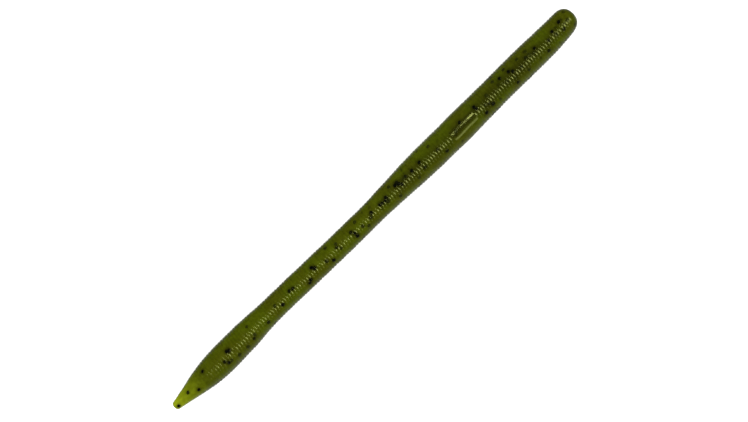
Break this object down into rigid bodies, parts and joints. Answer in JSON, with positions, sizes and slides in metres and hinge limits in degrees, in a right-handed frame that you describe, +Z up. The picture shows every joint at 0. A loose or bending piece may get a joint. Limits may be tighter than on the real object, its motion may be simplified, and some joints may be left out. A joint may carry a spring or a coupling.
{
  "type": "soft plastic worm",
  "caption": "Straight soft plastic fishing worm with a blunt nose, smooth collar, slim waist, swollen pointed tail and black flakes cast in.",
  "frame": {"origin": "on the resting plane, midway between the tail tip and the nose, below the body's axis", "axes": "+X from the tail to the nose, +Z up, +Y to the left when looking towards the nose"},
  "size_m": [0.165, 0.009, 0.0087],
  "materials": {
    "soft_plastic": "glossy, translucent soft plastisol, watermelon green to olive",
    "black_flake": "black foil flake, cast in"
  },
  "bodies": {
    "tail_tip": {"tail_tip": "soft_plastic", "tail_tip_flakes": "black_flake"},
    "tail_paddle": {"tail_paddle": "soft_plastic", "tail_paddle_flakes": "black_flake"},
    "tail_neck": {"tail_neck": "soft_plastic", "tail_neck_flakes": "black_flake"},
    "rear_waist": {"rear_waist": "soft_plastic", "rear_waist_flakes": "black_flake"},
    "middle_waist": {"middle_waist": "soft_plastic", "middle_waist_flakes": "black_flake"},
    "front_waist": {"front_waist": "soft_plastic", "front_waist_flakes": "black_flake"},
    "rear_shoulder": {"rear_shoulder": "soft_plastic", "rear_shoulder_flakes": "black_flake"},
    "front_shoulder": {"front_shoulder": "soft_plastic", "front_shoulder_flakes": "black_flake"},
    "collar": {"collar": "soft_plastic", "collar_flakes": "black_flake"},
    "front_body": {"front_body": "soft_plastic", "front_body_flakes": "black_flake"},
    "neck": {"neck": "soft_plastic", "neck_flakes": "black_flake"},
    "head": {"head": "soft_plastic", "head_flakes": "black_flake"}
  },
  "joints": [
    {"name": "tail_tip_bend_sideways", "type": "hinge", "parent": "tail_paddle", "child": "tail_tip", "pos_m": [-0.06645, 0, 0.00424], "axis": [0, 0, -1], "range_deg": [-35, 35], "stiffness_Nm_per_rad": 0.000871},
    {"name": "tail_paddle_bend_up", "type": "hinge", "parent": "tail_neck", "child": "tail_paddle", "pos_m": [-0.05295, 0, 0.00424], "axis": [0, 1, 0], "range_deg": [-35, 35], "stiffness_Nm_per_rad": 0.000897},
    {"name": "tail_neck_bend_sideways", "type": "hinge", "parent": "rear_waist", "child": "tail_neck", "pos_m": [-0.03945, 0, 0.00424], "axis": [0, 0, -1], "range_deg": [-35, 35], "stiffness_Nm_per_rad": 0.000452},
    {"name": "rear_waist_bend_up", "type": "hinge", "parent": "middle_waist", "child": "rear_waist", "pos_m": [-0.02645, 0, 0.00424], "axis": [0, 1, 0], "range_deg": [-35, 35], "stiffness_Nm_per_rad": 0.000457},
    {"name": "middle_waist_bend_sideways", "type": "hinge", "parent": "front_waist", "child": "middle_waist", "pos_m": [-0.01295, 0, 0.00424], "axis": [0, 0, -1], "range_deg": [-35, 35], "stiffness_Nm_per_rad": 0.000447},
    {"name": "rear_shoulder_bend_up", "type": "hinge", "parent": "front_waist", "child": "rear_shoulder", "pos_m": [0.00105, 0, 0.00424], "axis": [0, -1, 0], "range_deg": [-35, 35], "stiffness_Nm_per_rad": 0.000452},
    {"name": "front_shoulder_bend_sideways", "type": "hinge", "parent": "rear_shoulder", "child": "front_shoulder", "pos_m": [0.01505, 0, 0.00424], "axis": [0, 0, 1], "range_deg": [-35, 35], "stiffness_Nm_per_rad": 0.000914},
    {"name": "collar_bend_up", "type": "hinge", "parent": "front_shoulder", "child": "collar", "pos_m": [0.02905, 0, 0.00424], "axis": [0, -1, 0], "range_deg": [-35, 35], "stiffness_Nm_per_rad": 0.001141},
    {"name": "front_body_bend_sideways", "type": "hinge", "parent": "collar", "child": "front_body", "pos_m": [0.04685, 0, 0.00424], "axis": [0, 0, 1], "range_deg": [-35, 35], "stiffness_Nm_per_rad": 0.001032},
    {"name": "neck_bend_up", "type": "hinge", "parent": "front_body", "child": "neck", "pos_m": [0.05845, 0, 0.00424], "axis": [0, -1, 0], "range_deg": [-35, 35], "stiffness_Nm_per_rad": 0.001042},
    {"name": "head_bend_sideways", "type": "hinge", "parent": "neck", "child": "head", "pos_m": [0.06965, 0, 0.00424], "axis": [0, 0, 1], "range_deg": [-35, 35], "stiffness_Nm_per_rad": 0.000994}
  ]
}
